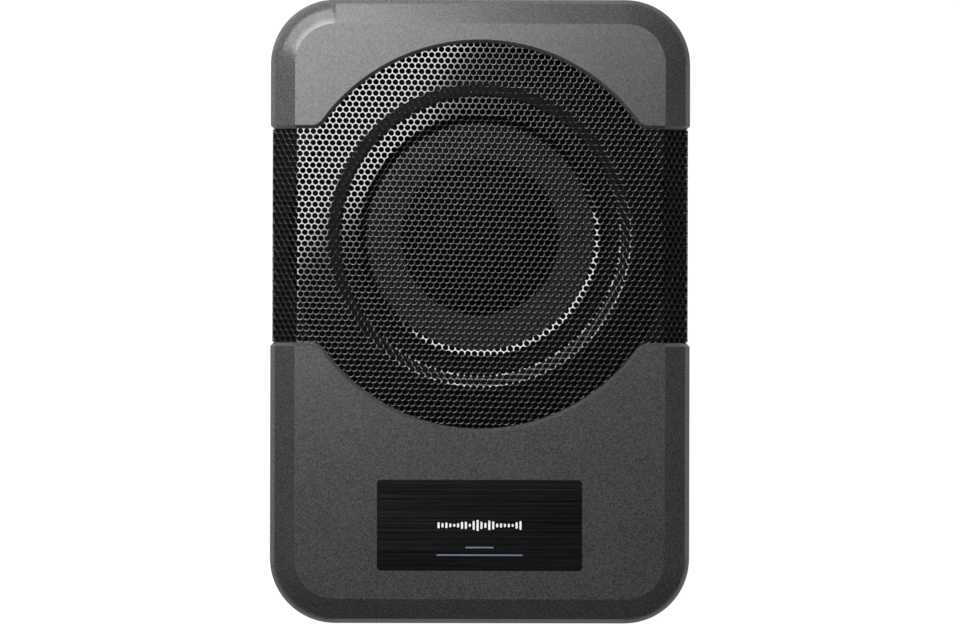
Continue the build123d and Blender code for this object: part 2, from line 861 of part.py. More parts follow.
def output_inductors():
    """Two shielded output coils."""
    body = chamfer(block((-8, 8), (-8, 8), (board_top, board_top + 13)).edges().filter_by(Axis.Z), 2)
    return group([Pos(36, board_y + 14 - 24 * k, 0) * body for k in (0, 1)])


def control_chips():
    """Small flat packages of the preamplifier and the switching controller."""
    places = [(14, -36), (30, -36), (46, -36), (22, 36), (44, 40)]
    return group(
        [Pos(x, board_y + y, 0) * block((-5, 5), (-3, 3), (board_top, board_top + 2)) for x, y in places]
    )


def speaker_header():
    """Two-way plug and header for the driver's leads."""
    half_x, half_y = header_half
    return Pos(0, header_y, 0) * block((-half_x, half_x), (-half_y, half_y), (board_top, header_top))


# ---------------------------------------------------------------- control panel
def foot_to_board(x_low, x_high, depth):
    """A block behind the panel, standing on the board, in the panel's frame."""
    low = board_top - panel_z
    return block((x_low, x_high), (low, 0), (-depth, -panel_thickness))


panel_screw_x = pocket_half_width - panel_ledge / 2
panel_screw_y = (panel_high - panel_low) / 2 - 5.0
panel_screw_places = [(sx * panel_screw_x, sy * panel_screw_y) for sx in both for sy in both]
power_half = (15.0, 8.5)
power_cavity = (13.0, 6.5)
socket_front = 3.0
remote_half = (6.5, 6.0)
remote_cavity = (4.6, 4.1)
socket_wall = 2.0
socket_depth = 15.0
contact_half = 0.6
contact_end = -3.5
socket_gap = 0.2
rca_block_margin = 6.5
rca_block_depth = 17.0


def control_panel():
    """Moulded panel with cut-outs for the sockets, the controls and the lamp."""
    half_w = pocket_half_width - panel_clearance
    half_h = (panel_high - panel_low) / 2 - panel_clearance
    panel = extrude(RectangleRounded(2 * half_w, 2 * half_h, 1.5), -panel_thickness)
    deep = panel_thickness + 2
    for s in both:
        panel -= Pos(rca_x + s * rca_pitch / 2, 0, 0) * Cylinder(rca_radius + 1.4, 2 * deep)
    for x, (half_x, half_y) in ((power_x, power_half), (remote_x, remote_half)):
        panel -= Pos(x, 0, 0) * Box(2 * (half_x + socket_gap), 2 * (half_y + socket_gap), 2 * deep)
    for x in (gain_x, crossover_x):
        panel -= Pos(x, 0, 0) * Cylinder(bushing_radius + socket_gap, 2 * deep)
    panel -= Pos(phase_x, 0, 0) * Box(3.4, lever_travel + 3.6, 2 * deep)
    panel -= Pos(lamp_x, 0, 0) * Cylinder(1.6, 2 * deep)
    for x, y in panel_screw_places:
        panel -= Pos(x, y, 0) * Cylinder(board_screw_radius + 0.3, 2 * deep)
    return at_panel * panel


def rca_body():
    """Shared insulating block of the two line-input jacks."""
    half = rca_pitch / 2
    left, right = rca_x - half - rca_block_margin, rca_x + half + rca_block_margin
    body = foot_to_board(left, right, rca_block_depth)
    body += block((left, right), (0, 7), (-rca_block_depth, -panel_thickness))
    for s in both:
        body += Pos(rca_x + s * half, 0, 0) * rod(rca_radius + 1.2, -panel_thickness - 1, rca_collar)
        body -= Pos(rca_x + s * half, 0, 0) * rod(rca_root + 0.02, -6, 2)
    return at_panel * body


def rca_barrels():
    """Plated shells of the two jacks."""
    barrel = ring(rca_radius - rca_shell, rca_radius, rca_collar, rca_length)
    barrel += ring(rca_radius - rca_shell, rca_root, -5, rca_collar)
    return at_panel * group([Pos(rca_x + s * rca_pitch / 2, 0, 0) * barrel for s in both])


def rca_centres():
    """Insulated centre contacts of the two jacks."""
    radius = rca_radius - rca_shell - 0.02
    core = ring(rca_bore, radius, -6, rca_length - 0.8) + rod(radius, -6, -4)
    return at_panel * group([Pos(rca_x + s * rca_pitch / 2, 0, 0) * core for s in both])


def socket(x, half, cavity, front):
    """Hollow connector housing through the panel, standing on the board."""
    body = block((x - half[0], x + half[0]), (-half[1], half[1]), (-socket_depth, front))
    body += foot_to_board(x - half[0], x + half[0], socket_depth)
    hollow = (-socket_depth + socket_wall, front + past)
    body -= block((x - cavity[0], x + cavity[0]), (-cavity[1], cavity[1]), hollow)
    return at_panel * body


def socket_pins(x, columns, pitch, rows):
    """Square contact pins standing on a socket's back wall."""
    pins = []
    half = contact_half
    reach = (-socket_depth + socket_wall, contact_end)
    for row in rows:
        for k in range(columns):
            pin_x = x + (k - (columns - 1) / 2) * pitch
            pins.append(block((pin_x - half, pin_x + half), (row - half, row + half), reach))
    return at_panel * group(pins)


def potentiometer(x):
    """Rotary control's fixed body and its bushing through the panel."""
    body = foot_to_board(x - 6, x + 6, 13)
    body += block((x - 6, x + 6), (0, 6), (-13, -panel_thickness))
    body += Pos(x, 0, 0) * rod(bushing_radius, -panel_thickness - 1, 1.2)
    body -= Pos(x, 0, 0) * rod(shaft_radius + shaft_clearance, -11, 2)
    return at_panel * body


def shaft(x):
    """Steel shaft of a rotary control."""
    return at_panel * Pos(x, 0, 0) * rod(shaft_radius, -10.7, knob_length - 2.6)


def knob(x):
    """Fluted knob with a raised pointer."""
    body = rod(knob_radius, 0.5, knob_length)
    body = chamfer(body.edges().sort_by(Axis.Z)[-1], 0.7)
    for k in range(16):
        if k != 4:
            body -= Rot(0, 0, k * 22.5) * Pos(knob_radius + 0.3, 0, 4.5) * Cylinder(0.8, 5)
    body -= Pos(0, knob_radius / 2 + 0.5, knob_length) * Box(0.9, knob_radius - 1, 0.8)
    body -= rod(shaft_radius + 0.02, 0, knob_length - 2.3)
    body -= rod(bushing_radius + 0.5, 0, 1.8)
    return at_panel * Pos(x, 0, 0) * body


def phase_switch_body():
    """Slide switch's fixed case behind the panel."""
    body = foot_to_board(phase_x - 4, phase_x + 4, 9)
    body += block((phase_x - 4, phase_x + 4), (0, 7), (-9, -panel_thickness))
    slot = (-lever_travel / 2 - 1.6, lever_travel / 2 + 1.6)
    body -= block((phase_x - 1.4, phase_x + 1.4), slot, (-6, 0))
    return at_panel * body


def phase_switch_lever():
    """Slide switch's lever at the lower end of its travel."""
    rest = -lever_travel / 2
    lever = block((phase_x - 1.1, phase_x + 1.1), (rest - 1.2, rest + 1.2), (-5.5, 3))
    lever += block((phase_x - 1.4, phase_x + 1.4), (rest - 1.4, rest + 1.4), (0.6, 3.2))
    for k in (-1, 0, 1):
        lever -= Pos(phase_x, rest + k * 0.9, 3.2) * Box(4, 0.3, 0.5)
    return at_panel * lever


def lamp_pipe():
    """Clear light pipe from the board to the panel."""
    pipe = Pos(lamp_x, 0, 0) * rod(1.5, -9, 0.4)
    pipe += block((lamp_x - 1.5, lamp_x + 1.5), (board_top - panel_z, 0.5), (-10, -7))
    return at_panel * pipe


# ---------------------------------------------------------------- every node of the assembly
badge_y = -length / 2 + badge_to_bottom
badge_plan = RectangleRounded(badge_width, badge_height, badge_radius)
badge_base = height - badge_recess
upper_cover, lower_cover = trim_covers()
foot = rod(foot_radius - foot_clearance, 0, tub_bottom + foot_recess)
case_screw_length = tub_height - counterbore_depth + case_screw_grip
case_screw = pan_screw(case_screw_radius, case_screw_length, 3.4, 2.6)
case_screw_z = tub_bottom + counterbore_depth
cover_screw = pan_screw(cover_screw_radius, cover_post_length - 4, 3.2, 2.2, 2.8)
driver_screw_length = ledge_thickness + flange_seal + flange_thickness + 5
driver_screw = pan_screw(driver_screw_radius, driver_screw_length, 3.6, 2.4)
board_screw = pan_screw(board_screw_radius, board_screw_grip, 2.6, 1.8)
trim_inner = surround_outer + 0.5
lip_outer = surround_outer + lip_width
seal_inner = mouth_radius + 2
plate_bore = neck_radius + winding_thickness + gap_clearance
winding_middle = plate_top - plate_thickness / 2
winding_low = winding_middle - winding_height / 2
winding_high = winding_middle + winding_height / 2

nodes = {
    "base_tub": base_tub(),
    "case_seal": case_seal(),
    "upper_housing": upper_housing(),
    "upper_trim_cover": upper_cover,
    "lower_trim_cover": lower_cover,
    "grille": grille(),
    "badge_plate": Pos(0, badge_y, 0) * slab(badge_plan, badge_base, badge_base + badge_thickness),
    "rubber_feet": group([Pos(x, y, 0) * foot for x, y in foot_places]),
    "case_screws": group(
        [Pos(x, y, case_screw_z) * Rot(180, 0, 0) * case_screw for x, y in case_screw_places]
    ),
    "cover_screws": group(
        [Pos(x, y, cover_screw_z) * Rot(180, 0, 0) * cover_screw for x, y in upper_posts + lower_posts]
    ),
    "driver_basket": basket(),
    "flange_seal": at_driver * ring(seal_inner, seal_inner + 5, ledge_top, ledge_top + flange_seal),
    "driver_screws": group([Pos(x, y, flange_top) * driver_screw for x, y in driver_screw_places]),
    "surround": surround(),
    "surround_trim_ring": at_driver
    * turned(
        (trim_inner, flange_top + roll_thickness),
        (lip_outer + 0.1, flange_top + roll_thickness),
        (lip_outer + 0.1, flange_top),
        (lip_outer + trim_ring_width, flange_top),
        (lip_outer + trim_ring_width, flange_top + roll_thickness + trim_ring_height),
        (trim_inner, flange_top + roll_thickness + trim_ring_height),
    ),
    "cone": cone(),
    "dust_cap": dust_cap(),
    "voice_coil_former": at_driver
    * ring(coil_radius, neck_radius, winding_low - former_overhang, neck_z + collar_length),
    "voice_coil_winding": at_driver
    * ring(neck_radius, neck_radius + winding_thickness, winding_low, winding_high),
    "spider": spider(),
    "top_plate": at_driver * ring(plate_bore, plate_radius, magnet_top, plate_top),
    "magnet": at_driver * ring(plate_bore + magnet_setback, magnet_radius, yoke_top, magnet_top),
    "yoke": yoke(),
    "terminal_strip": terminal_strip(),
    "terminal_tabs": terminal_tabs(),
    "tinsel_leads": tinsel_leads(),
    "speaker_leads": speaker_leads(),
    "amplifier_board": amplifier_board(),
    "board_screws": group([Pos(x, y, board_top) * board_screw for x, y in standoff_places]),
    "power_transistors": power_transistors(),
    "transistor_clamp": transistor_clamp(),
    "clamp_screws": clamp_screws(),
    "filter_capacitors": filter_capacitors(),
    "input_choke": input_choke(),
    "power_transformer": power_transformer(),
    "output_inductors": output_inductors(),
    "control_chips": control_chips(),
    "speaker_header": speaker_header(),
    "control_panel": control_panel(),
    "panel_screws": at_panel * group([Pos(x, y, 0) * board_screw for x, y in panel_screw_places]),
    "rca_body": rca_body(),
    "rca_barrels": rca_barrels(),
    "rca_centres": rca_centres(),
    "power_socket": socket(power_x, power_half, power_cavity, socket_front),
    "power_pins": socket_pins(power_x, 4, 6.0, (-3, 3)),
    "remote_socket": socket(remote_x, remote_half, remote_cavity, socket_front),
    "remote_pins": socket_pins(remote_x, 2, 3.6, (-1.8, 1.8)),
    "gain_pot": potentiometer(gain_x),
    "gain_shaft": shaft(gain_x),
    "gain_knob": knob(gain_x),
    "crossover_pot": potentiometer(crossover_x),
    "crossover_shaft": shaft(crossover_x),
    "crossover_knob": knob(crossover_x),
    "phase_switch_body": phase_switch_body(),
    "phase_switch_lever": phase_switch_lever(),
    "lamp_pipe": lamp_pipe(),
}

os.makedirs("parts", exist_ok=True)
for name, shape in nodes.items():
    export_step(shape, f"parts/{name}.step")
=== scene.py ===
import math

import bmesh
import bpy
import numpy as np
from mathutils import Matrix, Vector


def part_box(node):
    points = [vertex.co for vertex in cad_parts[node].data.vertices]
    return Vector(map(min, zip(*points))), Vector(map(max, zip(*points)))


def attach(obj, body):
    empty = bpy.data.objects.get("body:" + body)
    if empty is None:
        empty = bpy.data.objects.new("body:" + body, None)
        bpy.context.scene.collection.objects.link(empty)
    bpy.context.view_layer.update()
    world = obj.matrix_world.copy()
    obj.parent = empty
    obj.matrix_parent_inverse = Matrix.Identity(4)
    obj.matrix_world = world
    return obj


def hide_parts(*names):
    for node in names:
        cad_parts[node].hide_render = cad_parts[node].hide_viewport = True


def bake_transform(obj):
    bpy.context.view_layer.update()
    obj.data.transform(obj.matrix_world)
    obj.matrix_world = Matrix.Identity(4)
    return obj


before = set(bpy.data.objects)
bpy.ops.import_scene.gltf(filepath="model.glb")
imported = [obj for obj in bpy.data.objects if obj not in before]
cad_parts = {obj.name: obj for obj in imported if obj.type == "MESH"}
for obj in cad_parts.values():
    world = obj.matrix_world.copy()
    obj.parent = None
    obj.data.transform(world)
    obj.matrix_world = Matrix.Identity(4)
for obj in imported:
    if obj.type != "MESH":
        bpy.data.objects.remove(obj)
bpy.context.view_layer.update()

# A powered car subwoofer on its back: X across the case, Y along it, Z up, in metres.
MM = 0.001

# ---------------------------------------------------------------- places read from the frame
cover_low, cover_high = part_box("lower_trim_cover")
upper_low, upper_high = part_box("upper_trim_cover")
grille_low, grille_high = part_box("grille")
cone_low, cone_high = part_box("cone")
badge_low, badge_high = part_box("badge_plate")
surround_low, surround_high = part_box("surround")

HALF_WIDTH = cover_high.x
TOP = cover_high.z
DRIVER_Y = (cone_low.y + cone_high.y) / 2
CONE_RADIUS = cone_high.x
GRILLE_TOP = grille_high.z
GRILLE_FLANGE = 5.0 * MM
OPENING_RADIUS = (grille_high.y - grille_low.y) / 2 - GRILLE_FLANGE
SHEET = 1.0 * MM
BAND_HALF = upper_low.y - DRIVER_Y
GRILLE_SIDE_INSET = HALF_WIDTH - grille_high.x
COVER_THICKNESS = TOP - GRILLE_TOP

# The covers' edge: a narrow steep rim and a wide shallow bevel.
RIM_REACH = 2.6 * MM
RIM_DROP = 4.0 * MM
BEVEL_REACH = 13.9 * MM
BEVEL_DROP = 6.5 * MM

# Holes in the grille.
HOLE_PITCH = 3.58 * MM
HOLE_RADIUS = 1.46 * MM
HOLE_EDGE = 0.1 * MM
PAINT_FALL = 0.15 * MM
PAINT_LEAN = 14
ROW_TILT = math.radians(-1.0)
HOLE_SIDES = 12

# The sheet's gap to the covers, and how far holes keep from the bevel and are looked for.
BAND_GAP = 0.3 * MM
FLAT_MARGIN = 2 * MM
SEARCH_ALONG = 0.14
SEARCH_ACROSS = 0.17
WELD = 0.01 * MM

# Bends where the sheet wraps over the sides: their reach, the largest share of a flat, their steps.
WRAP_BEND = 1.6 * MM
WRAP_SHARE = 0.35
WRAP_STEPS = 7

# Rings pressed into the sheet: a sunk disc, a step up to a sunk crown, and a slope up to the flat.
DISC_DEPTH = 2.9 * MM
CROWN_INNER_DEPTH = 2.2 * MM
CROWN_OUTER_DEPTH = 2.3 * MM
CROWN_WIDTH = 12.3 * MM
DISC_INSIDE_CONE = 2.0 * MM
STEP_BEFORE = 2.0 * MM
STEP_AFTER = 1.2 * MM
ROLL_WIDTH = 21 * MM
CREST_INSIDE_ROLL = 1.5 * MM
SLOPE_END = 3.2 * MM
RING_STEP = 0.1 * MM
RING_REACH = 0.16
SMOOTHING_STEPS = 3.0
SMOOTHING_REACH = 30


# ---------------------------------------------------------------- mesh helpers
def new_object(name, points, faces, smooth=True):
    """A mesh object from points and faces."""
    mesh = bpy.data.meshes.new(name)
    mesh.from_pydata([tuple(p) for p in points], [], [tuple(f) for f in faces])
    mesh.polygons.foreach_set("use_smooth", [smooth] * len(mesh.polygons))
    mesh.update()
    obj = bpy.data.objects.new(name, mesh)
    bpy.context.scene.collection.objects.link(obj)
    return obj


def finish_piece(obj, body, material, slot, *nodes):
    """Gives a new piece its material and its body and hides the CAD nodes it stands for; slot is not
    used.
    """
    obj.data.materials.clear()
    obj.data.materials.append(material)
    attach(obj, body)
    if nodes:
        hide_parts(*nodes)
    return obj


def turned(name, section, centre, steps):
    """A ring about Z from a section of (radius, z) points; the section is a closed loop."""
    angles = np.linspace(0, 2 * math.pi, steps, endpoint=False)
    points = []
    for a in angles:
        for r, z in section:
            points.append((centre[0] + r * math.cos(a), centre[1] + r * math.sin(a), z))
    n = len(section)
    faces = []
    for i in range(steps):
        j = (i + 1) % steps
        for k in range(n):
            m = (k + 1) % n
            faces.append((i * n + k, j * n + k, j * n + m, i * n + m))
    return new_object(name, points, faces)


# ---------------------------------------------------------------- the grille
def meeting(first, second):
    """Where two lines meet; each is (point, direction) in the (inset, z) plane."""
    (ax, az), (au, aw) = first
    (bx, bz), (bu, bw) = second
    step = ((bx - ax) * bw - (bz - az) * bu) / (au * bw - aw * bu)
    return np.array((ax + au * step, az + aw * step))


def moved_in(start, end, shift):
    """The line from start to end, moved into the case by shift."""
    du, dw = end[0] - start[0], end[1] - start[1]
    size = math.hypot(du, dw)
    return (start[0] + dw / size * shift, start[1] - du / size * shift), (du, dw)


def wrap_profile():
    """Points (x, z) of the sheet's outer face from the middle of the band down one long side."""
    corners = [
        (0, grille_low.z),
        (0, TOP - BEVEL_DROP - RIM_DROP),
        (RIM_REACH, TOP - BEVEL_DROP),
        (BEVEL_REACH, TOP),
        (BEVEL_REACH + 0.01, TOP),
    ]
    shifts = [GRILLE_SIDE_INSET, GRILLE_SIDE_INSET, COVER_THICKNESS, COVER_THICKNESS]
    lines = [moved_in(a, b, s) for a, b, s in zip(corners, corners[1:], shifts)]
    bends = [meeting(a, b) for a, b in zip(lines, lines[1:])]
    path = [np.array((GRILLE_SIDE_INSET, grille_low.z))] + bends + [np.array((HALF_WIDTH, GRILLE_TOP))]
    path = [np.array((HALF_WIDTH - inset, z)) for inset, z in reversed(path)]
    rounded = [path[0]]
    for before, corner, after in zip(path, path[1:], path[2:]):
        into = (corner - before) / np.linalg.norm(corner - before)
        out = (after - corner) / np.linalg.norm(after - corner)
        shorter = min(np.linalg.norm(corner - before), np.linalg.norm(after - corner))
        reach = min(WRAP_BEND, WRAP_SHARE * shorter)
        start, end = corner - into * reach, corner + out * reach
        for t in np.linspace(0, 1, WRAP_STEPS):
            rounded.append((1 - t) ** 2 * start + 2 * t * (1 - t) * corner + t * t * end)
    rounded.append(path[-1])
    return np.array(rounded)


def pressed_depth():
    """Radii and heights of the rings pressed into the sheet, below its flat, smoothed at each bend."""
    step = CONE_RADIUS - DISC_INSIDE_CONE
    crest = CONE_RADIUS + ROLL_WIDTH - CREST_INSIDE_ROLL
    line = [
        (0, -DISC_DEPTH),
        (step - STEP_BEFORE, -DISC_DEPTH),
        (step + STEP_AFTER, -CROWN_INNER_DEPTH),
        (step + CROWN_WIDTH, -CROWN_OUTER_DEPTH),
        (crest - SLOPE_END, 0.0),
        (RING_REACH, 0.0),
    ]
    radii = np.arange(0, RING_REACH, RING_STEP)
    heights = np.interp(radii, [r for r, z in line], [z for r, z in line])
    kernel = np.exp(-0.5 * (np.arange(-SMOOTHING_REACH, SMOOTHING_REACH + 1) / SMOOTHING_STEPS) ** 2)
    kernel /= kernel.sum()
    before = np.full(SMOOTHING_REACH, heights[0])
    after = np.full(SMOOTHING_REACH, heights[-1])
    padded = np.concatenate([before, heights, after])
    return radii, np.convolve(padded, kernel, "valid")


def sheet_points(flat, depth, facing, profile, rings):
    """Places flat points (u across, v along) and their normals on the sheet, depth below its face."""
    lengths = np.concatenate([[0], np.cumsum(np.linalg.norm(np.diff(profile, axis=0), axis=1))])
    slopes = np.gradient(profile, lengths, axis=0)
    across = np.abs(flat[:, 0])
    side = np.sign(flat[:, 0]) + (flat[:, 0] == 0)
    x = np.interp(across, lengths, profile[:, 0])
    z = np.interp(across, lengths, profile[:, 1])
    tx = np.interp(across, lengths, slopes[:, 0])
    tz = np.interp(across, lengths, slopes[:, 1])
    size = np.hypot(tx, tz)
    x = x + tz / size * depth
    z = z - tx / size * depth
    radius = np.hypot(flat[:, 0], flat[:, 1] - DRIVER_Y)
    z = z + np.interp(radius, rings[0], rings[1])
    placed = np.column_stack([x * side, flat[:, 1], z])
    along = np.column_stack([tx, 0 * tx, side * tz]) / size[:, None]
    out = np.column_stack([-side * tz, 0 * tx, tx]) / size[:, None]
    normals = facing[:, :1] * along + facing[:, 1:2] * (0, 1, 0) + facing[:, 2:] * out
    fall = np.interp(radius, rings[0], np.gradient(rings[1], rings[0])) / np.maximum(radius, 1e-6)
    slope = fall[:, None] * np.column_stack([flat[:, 0], flat[:, 1] - DRIVER_Y])
    normals[:, :2] -= slope * normals[:, 2:]
    return placed, normals / np.linalg.norm(normals, axis=1)[:, None]


def perforated_sheet():
    """The grille: every hole a twelve-sided punching with a rolled upper edge."""
    profile = wrap_profile()
    rings = pressed_depth()
    reach_u = np.linalg.norm(np.diff(profile, axis=0), axis=1).sum()
    band = BAND_HALF - BAND_GAP
    cover_edge = OPENING_RADIUS + GRILLE_FLANGE - HOLE_PITCH * 0.6
    flat_half = HALF_WIDTH - BEVEL_REACH - FLAT_MARGIN
    row_step = HOLE_PITCH * math.sqrt(3) / 2
    cos_t, sin_t = math.cos(ROW_TILT), math.sin(ROW_TILT)
    overhang = HOLE_PITCH * 0.7
    cells = {}
    rows = int(SEARCH_ALONG / row_step)
    columns = int(SEARCH_ACROSS / HOLE_PITCH)
    for j in range(-rows, rows + 1):
        for i in range(-columns - abs(j) // 2 - 1, columns + abs(j) // 2 + 2):
            a = (i + j / 2) * HOLE_PITCH
            b = j * row_step
            u = a * cos_t - b * sin_t
            v = a * sin_t + b * cos_t
            in_band = abs(v) < band + overhang and abs(u) < reach_u + overhang
            in_round = math.hypot(u, v) < cover_edge and abs(u) < flat_half
            if in_band or in_round:
                cells[(i, j)] = (u, v + DRIVER_Y)
    corner_r = HOLE_PITCH / math.sqrt(3)
    angles = np.radians(30 + np.arange(HOLE_SIDES) * 360 / HOLE_SIDES) + ROW_TILT
    circle = np.column_stack([np.cos(angles), np.sin(angles)])
    edge_r = np.array([corner_r if k % 2 == 0 else HOLE_PITCH / 2 for k in range(HOLE_SIDES)])
    # Each ring of a cell: distance from the hole's middle, depth below the outer face, and how far the
    # surface there leans from facing up towards facing the hole's middle, in degrees. The paint draws
    # back from the edge, so the face falls slowly towards the hole before it turns down into it.
    draw_back = HOLE_RADIUS + HOLE_EDGE + PAINT_FALL
    fall = PAINT_FALL * math.tan(math.radians(PAINT_LEAN / 2))
    levels = [
        (edge_r, 0.0, 0),
        (draw_back, 0.0, 0),
        (draw_back - PAINT_FALL / 2, fall / 4, PAINT_LEAN / 2),
        (HOLE_RADIUS + HOLE_EDGE, fall, PAINT_LEAN),
        (HOLE_RADIUS + 0.3 * HOLE_EDGE, fall + 0.4 * HOLE_EDGE, 50),
        (HOLE_RADIUS, fall + HOLE_EDGE, 90),
        (HOLE_RADIUS, SHEET - 0.1 * MM, 90),
        (HOLE_RADIUS + 0.1 * MM, SHEET, 180),
        (edge_r, SHEET, 180),
    ]
    centres = np.array(list(cells.values()))
    flat, depth, normals = [], [], []
    for distance, down, lean in levels:
        ring = circle * (np.ones(HOLE_SIDES) * distance)[:, None]
        flat.append((centres[:, None, :] + ring[None, :, :]).reshape(-1, 2))
        depth.append(np.full(len(centres) * HOLE_SIDES, down))
        towards = -circle * math.sin(math.radians(lean))
        facing = np.column_stack([towards, np.full(HOLE_SIDES, math.cos(math.radians(lean)))])
        normals.append(np.tile(facing, (len(centres), 1)))
    n = len(centres)
    level_size = n * HOLE_SIDES
    k = np.arange(HOLE_SIDES)
    base = (np.arange(n) * HOLE_SIDES)[:, None]
    faces = []
    for level in range(len(levels) - 1):
        a = level * level_size + base + k
        b = level * level_size + base + (k + 1) % HOLE_SIDES
        faces.append(np.stack([a, b, b + level_size, a + level_size], axis=2).reshape(-1, 4))
    # Walls where a cell has no neighbour.
    steps = [(0, 1), (-1, 1), (-1, 0), (0, -1), (1, -1), (1, 0)]
    order = {key: c for c, key in enumerate(cells)}
    last = (len(levels) - 1) * level_size
    walls = []
    for (i, j), c in order.items():
        for s, (di, dj) in enumerate(steps):
            if (i + di, j + dj) not in order:
                for half in (0, 1):
                    a = c * HOLE_SIDES + (2 * s + half) % HOLE_SIDES
                    b = c * HOLE_SIDES + (2 * s + half + 1) % HOLE_SIDES
                    walls.append((b, a, last + a, last + b))
    faces.append(np.array(walls))
    flat = np.concatenate(flat)
    depth = np.concatenate(depth)
    points = np.column_stack([flat, -depth])
    obj = new_object("perforated_grille", points, np.concatenate(faces))
    facing = obj.data.attributes.new("facing", "FLOAT_VECTOR", "POINT")
    facing.data.foreach_set("vector", np.concatenate(normals).ravel())
    # The cells are cut off straight at the band's ends and at the foot of each side while still flat.
    bm = bmesh.new()
    bm.from_mesh(obj.data)
    bmesh.ops.remove_doubles(bm, verts=bm.verts, dist=WELD)
    flat_ends = profile_length_at(profile, HALF_WIDTH - BEVEL_REACH - 0.5 * MM)
    trim(bm, Vector((reach_u, 0, 0)), Vector((1, 0, 0)))
    trim(bm, Vector((-reach_u, 0, 0)), Vector((-1, 0, 0)))
    trim(bm, Vector((0, DRIVER_Y + band, 0)), Vector((0, 1, 0)), flat_ends)
    trim(bm, Vector((0, DRIVER_Y - band, 0)), Vector((0, -1, 0)), flat_ends)
    bmesh.ops.recalc_face_normals(bm, faces=bm.faces)
    bm.to_mesh(obj.data)
    bm.free()
    co = np.empty(len(obj.data.vertices) * 3)
    obj.data.vertices.foreach_get("co", co)
    co = co.reshape(-1, 3)
    facing = np.empty(len(co) * 3)
    obj.data.attributes["facing"].data.foreach_get("vector", facing)
    placed, normals = sheet_points(co[:, :2], -co[:, 2], facing.reshape(-1, 3), profile, rings)
    obj.data.attributes.remove(obj.data.attributes["facing"])
    obj.data.vertices.foreach_set("co", placed.ravel())
    obj.data.polygons.foreach_set("use_smooth", [True] * len(obj.data.polygons))
    obj.data.update()
    obj.data.normals_split_custom_set_from_vertices(normals)
    return obj


def profile_length_at(profile, x):
    """Distance along the wrapped profile to where it passes x."""
    lengths = np.concatenate([[0], np.cumsum(np.linalg.norm(np.diff(profile, axis=0), axis=1))])
    return float(np.interp(x, profile[:, 0], lengths))


def trim(bm, at, outward, beyond_u=None):
    """Cuts off what lies past a plane and closes the cut, only beyond beyond_u if it is given."""
    far = [f for f in bm.faces if beyond_u is None or abs(f.calc_center_median().x) > beyond_u]
    geom = far + list({v for f in far for v in f.verts}) + list({e for f in far for e in f.edges})
    bmesh.ops.bisect_plane(bm, geom=geom, plane_co=at, plane_no=outward, dist=1e-7)
    gone = [f for f in bm.faces if (f.calc_center_median() - at).dot(outward) > 0]
    if beyond_u is not None:
        gone = [f for f in gone if abs(f.calc_center_median().x) > beyond_u]
    bmesh.ops.delete(bm, geom=gone, context="FACES")

    def on_plane(edge):
        return all(abs((v.co - at).dot(outward)) < 1e-6 for v in edge.verts)

    edges = [e for e in bm.edges if e.is_boundary and on_plane(e)]
    bmesh.ops.holes_fill(bm, edges=edges, sides=0)


# ---------------------------------------------------------------- materials
def node_material(name):
    """A material with an empty principled shader; returns it with its tree and shader."""
    mat = bpy.data.materials.new(name)
    mat.use_nodes = True
    tree = mat.node_tree
    shader = tree.nodes["Principled BSDF"]
    return mat, tree, shader


def link(tree, out, into):
    tree.links.new(out, into)


def place(tree, scale):
    """Object coordinates stretched by scale."""
    coords = tree.nodes.new("ShaderNodeTexCoord")
    mapping = tree.nodes.new("ShaderNodeMapping")
    mapping.inputs["Scale"].default_value = scale
    link(tree, coords.outputs["Object"], mapping.inputs["Vector"])
    return mapping.outputs["Vector"]


def noise(tree, vector, scale, detail=2.0, rough=0.5):
    """Noise with features 1/scale metres across."""
    tex = tree.nodes.new("ShaderNodeTexNoise")
    tex.inputs["Scale"].default_value = scale
    tex.inputs["Detail"].default_value = detail
    tex.inputs["Roughness"].default_value = rough
    link(tree, vector, tex.inputs["Vector"])
    return tex.outputs["Fac"]


def ramp(tree, factor, *stops):
    """A colour ramp; each stop is (position, colour)."""
    node = tree.nodes.new("ShaderNodeValToRGB")
    elements = node.color_ramp.elements
    while len(elements) < len(stops):
        elements.new(0.5)
    for element, (at, colour) in zip(elements, stops):
        element.position = at
        element.color = (*colour, 1) if len(colour) == 3 else (colour[0],) * 3 + (1,)
    link(tree, factor, node.inputs["Fac"])
    return node.outputs["Color"]


def spread(tree, factor, low, high):
    """A value mapped from 0..1 to low..high."""
    node = tree.nodes.new("ShaderNodeMapRange")
    node.inputs["To Min"].default_value = low
    node.inputs["To Max"].default_value = high
    link(tree, factor, node.inputs["Value"])
    return node.outputs["Result"]


def bump(tree, shader, height, distance):
    """Adds a bump to the shader's normal."""
    node = tree.nodes.new("ShaderNodeBump")
    node.inputs["Distance"].default_value = distance
    node.inputs["Strength"].default_value = 1.0
    link(tree, height, node.inputs["Height"])
    link(tree, node.outputs["Normal"], shader.inputs["Normal"])


